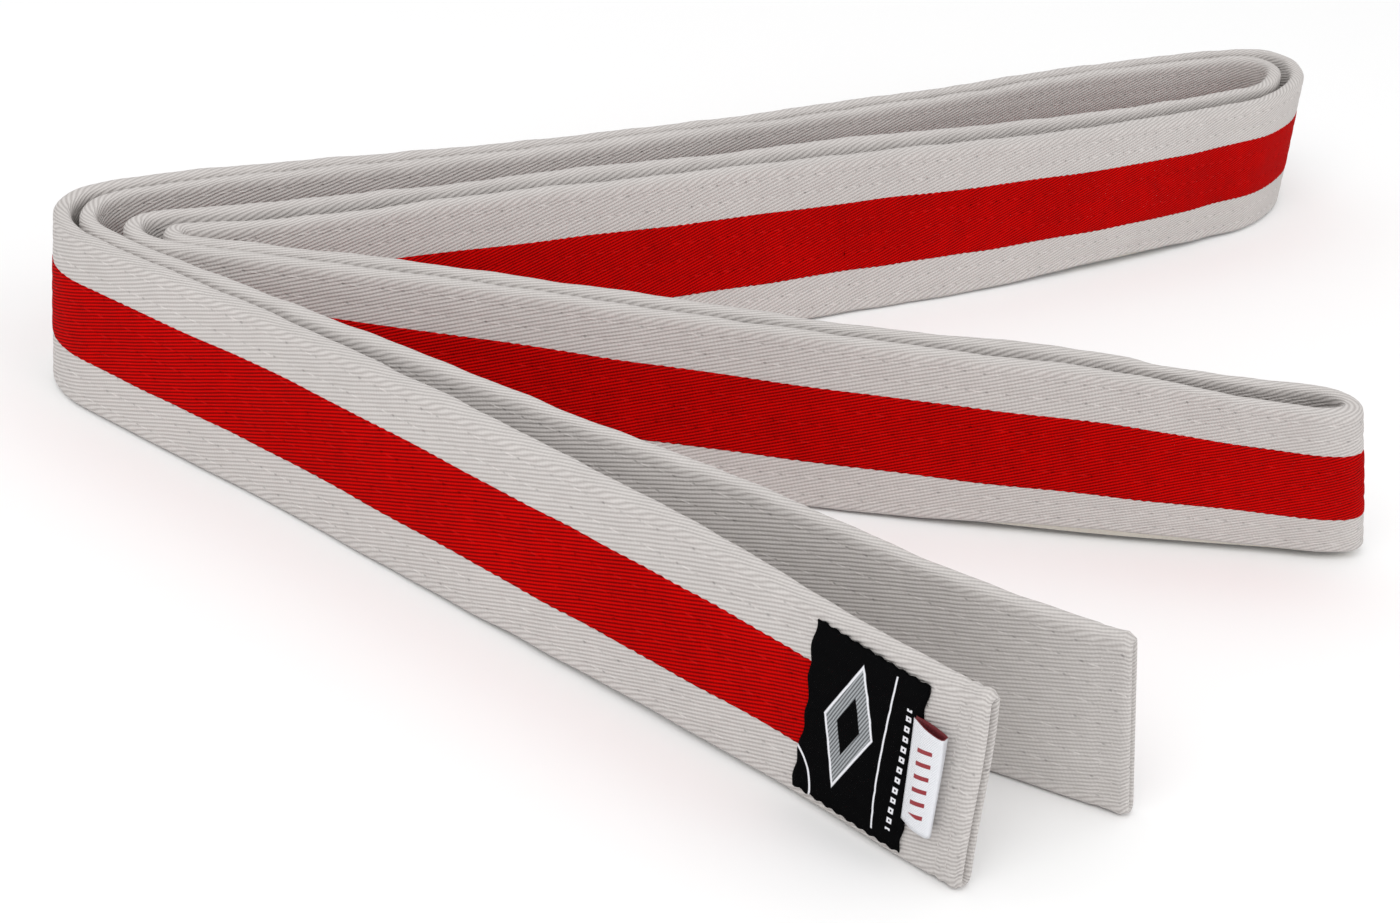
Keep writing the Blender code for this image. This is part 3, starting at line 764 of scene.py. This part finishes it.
# ---------------------------------------------------------------- the woven label and the size tab
LABEL_START, LABEL_LENGTH, LABEL_HEIGHT = 12.3 * MM, 24.0 * MM, 35.0 * MM
LABEL_SKEW = -0.033  # the label's top is this share of its height nearer the end
du = np.linspace(0, LABEL_LENGTH, 49)
dv = np.linspace(0, LABEL_HEIGHT, 71)
U, V = np.meshgrid(du, dv, indexing="ij")
to_side = np.minimum(V, LABEL_HEIGHT - V)
to_end = np.minimum(U, LABEL_LENGTH - U)
ripple = 0.35 * MM * np.sin(V * 260 + 0.5) * np.exp(-to_end / (1.5 * MM))
ripple = ripple + 0.25 * MM * np.sin(V * 900) * np.exp(-to_end / (0.8 * MM))
frill = 0.22 * MM * np.sin(U * 2600) * np.exp(-to_side / (0.7 * MM))
lay = HALF + 0.32 * MM + relief(LABEL_START + U, V + 2.5 * MM - WIDTH / 2) * 0.8
lay = lay + 0.12 * MM * np.sin(V * 190 + U * 130)
lay = lay + 0.10 * MM * np.exp(-to_side / (0.8 * MM))
label_level = WIDTH / 2 - LABEL_HEIGHT / 2 + V + frill - 0.5 * MM + 0.9 * MM * U / LABEL_LENGTH
grid = placed(LABEL_START + U + ripple + LABEL_SKEW * V, lay, label_level)
label = slab("woven_label_cloth", grid, np.stack([U, V], axis=-1), 0.35 * MM, [label_satin])
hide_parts("woven_label")
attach(label, "tail_a")

TAB_REACH, TAB_BOTTOM, TAB_HEIGHT, TAB_FLARE = 6.4 * MM, 9.8 * MM, 20.2 * MM, 1.6 * MM
TAB_WIDENING = 0.09  # how much the distance from the end grows up to the tab's top
root = LABEL_START + 0.3 * MM
face = HALF + 0.30 * MM
tab_path = smooth_curve(np.array([
    (root, face),
    (root - TAB_REACH * 0.5, face + TAB_FLARE * 0.25),
    (root - TAB_REACH * 0.9, face + TAB_FLARE * 0.72),
    (root - TAB_REACH * 1.02, face + TAB_FLARE),
    (root - TAB_REACH * 0.97, face + TAB_FLARE + 0.75 * MM),
    (root - TAB_REACH * 0.5, face + TAB_FLARE * 0.85 + 0.85 * MM),
    (root, face + 0.75 * MM)]), 8)
tab_along = np.concatenate([[0.0], np.cumsum(np.linalg.norm(np.diff(tab_path, axis=0), axis=1))])
tab_up = np.linspace(0, TAB_HEIGHT, 23)
A, B = np.meshgrid(np.arange(len(tab_path)), tab_up, indexing="ij")
open_top = (B / TAB_HEIGHT) ** 3 * 0.9 * MM * np.sin(np.pi * A / (len(tab_path) - 1)) ** 2
tab_out = tab_path[A, 0] * (1.0 + TAB_WIDENING * B / TAB_HEIGHT) + LABEL_SKEW * B
tab_side = tab_path[A, 1] + open_top * (A > len(tab_path) / 2)
grid = placed(tab_out, tab_side, TAB_BOTTOM + B)
tab = slab("size_tab_cloth", grid, np.stack([tab_along[A], B], axis=-1), 0.22 * MM, [tab_lining, tab_satin])
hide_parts("size_tab")
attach(tab, "size_tab")


def stitches(name, end, inwards):
    """The rows of thread across an end, on both faces, each stitch a short bowed strand."""
    points, faces, uvs = [], [], []
    for ring in SEAM_RINGS:
        for flip in (1.0, -1.0):
            for n in range(11):
                low = 3.4 * MM + n * 3.05 * MM
                for m in range(6):
                    t = m / 5.0
                    z = low + 2.0 * MM * t
                    thick = 0.20 * MM * (math.sin(math.pi * (0.12 + 0.76 * t)) ** 0.6)
                    v = (z - WIDTH / 2) if flip > 0 else WRAP - (z - WIDTH / 2)
                    d = end + inwards * ring * STEP
                    bow = 0.13 * MM * math.sin(math.pi * t) - 0.08 * MM
                    out = HALF + float(relief(np.array(d), np.array(v))) + bow
                    for q in range(6):
                        turn = 2 * math.pi * q / 6
                        points.append(placed(d + 0.9 * thick * math.cos(turn) + 0.15 * MM * (t - 0.5),
                                             flip * (out + thick * math.sin(turn) * 0.8), z))
                        uvs.append((thick * turn, z))
                base = len(points) - 36
                for m in range(5):
                    for q in range(6):
                        a, b = base + m * 6 + q, base + m * 6 + (q + 1) % 6
                        faces.append((a, b, b + 6, a + 6))
                faces.append(tuple(base + q for q in reversed(range(6))))
                faces.append(tuple(base + 30 + q for q in range(6)))
    mesh = bpy.data.meshes.new(name)
    mesh.from_pydata([tuple(p) for p in points], [], faces)
    layer = mesh.uv_layers.new(name="cloth")
    for loop in mesh.loops:
        layer.data[loop.index].uv = uvs[loop.vertex_index]
    for polygon in mesh.polygons:
        polygon.use_smooth = len(polygon.vertices) == 4
    mesh.materials.append(thread)
    mesh.update()
    piece = bpy.data.objects.new(name, mesh)
    bpy.context.scene.collection.objects.link(piece)
    return piece


for name, end, inwards in (("a", 0.0, 1.0), ("b", LENGTH, -1.0)):
    sewing = stitches(f"end_{name}_cross_stitches", end, inwards)
    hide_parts(f"end_{name}_outer_seam", f"end_{name}_inner_seam")
    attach(sewing, f"tail_{name}")

# ---------------------------------------------------------------- floor, light and camera
floor_mesh = bpy.data.meshes.new("floor")
REACH = 4.0
floor_mesh.from_pydata([(-REACH, -REACH, 0), (REACH, -REACH, 0), (REACH, REACH, 0), (-REACH, REACH, 0)],
                       [], [(0, 1, 2, 3)])
floor = bpy.data.objects.new("floor", floor_mesh)
floor.location.z = -0.3 * MM
bpy.context.scene.collection.objects.link(floor)
paint = bpy.data.materials.new("floor_paint")
paint.use_nodes = True
paint_shader = paint.node_tree.nodes["Principled BSDF"]
paint_shader.inputs["Base Color"].default_value = (0.93, 0.93, 0.93, 1)
paint_shader.inputs["Roughness"].default_value = 0.9
paint_shader.inputs["Specular IOR Level"].default_value = 0.1
floor_mesh.materials.append(paint)


def lamp(name, place, target, size, power):
    data = bpy.data.lights.new(name, "AREA")
    data.shape, data.size, data.energy = "DISK", size, power
    light = bpy.data.objects.new(name, data)
    bpy.context.scene.collection.objects.link(light)
    light.location = place
    away = np.array(place) - np.array(target)
    yaw, tilt = math.atan2(away[1], away[0]), math.acos(away[2] / np.linalg.norm(away))
    light.rotation_euler = (0, tilt, yaw)
    return light


lamp("key", (-0.5, -1.3, 1.5), (0, 0, 0), 1.3, 11.5)
lamp("fill", (1.3, -0.9, 1.0), (0, 0, 0), 1.3, 5.0)
world = bpy.data.worlds.new("studio")
world.use_nodes = True
world.node_tree.nodes["Background"].inputs[0].default_value = (1, 1, 1, 1)
world.node_tree.nodes["Background"].inputs[1].default_value = 0.88
bpy.context.scene.world = world
bpy.context.scene.view_settings.view_transform = "Standard"

PITCH, ROLL = math.radians(26.931), math.radians(7.0)
ahead = np.array((0.0, math.cos(PITCH), -math.sin(PITCH)))
level_up = np.array((0.0, math.sin(PITCH), math.cos(PITCH)))
level_right = np.array((1.0, 0.0, 0.0))
right = level_right * math.cos(ROLL) + level_up * math.sin(ROLL)
up = level_up * math.cos(ROLL) - level_right * math.sin(ROLL)
camera_data = bpy.data.cameras.new("camera")
camera_data.sensor_width = 36.0
camera_data.lens = 36.0 * 2400.0 / 1400.0
camera_data.clip_start = 0.01
camera = bpy.data.objects.new("camera", camera_data)
bpy.context.scene.collection.objects.link(camera)
pose = Matrix.Identity(4)
for row in range(3):
    pose[row][0], pose[row][1], pose[row][2] = right[row], up[row], -ahead[row]
pose[0][3], pose[1][3], pose[2][3] = -0.009486, -0.52760, 0.24352
camera.matrix_world = pose
bpy.context.scene.camera = camera
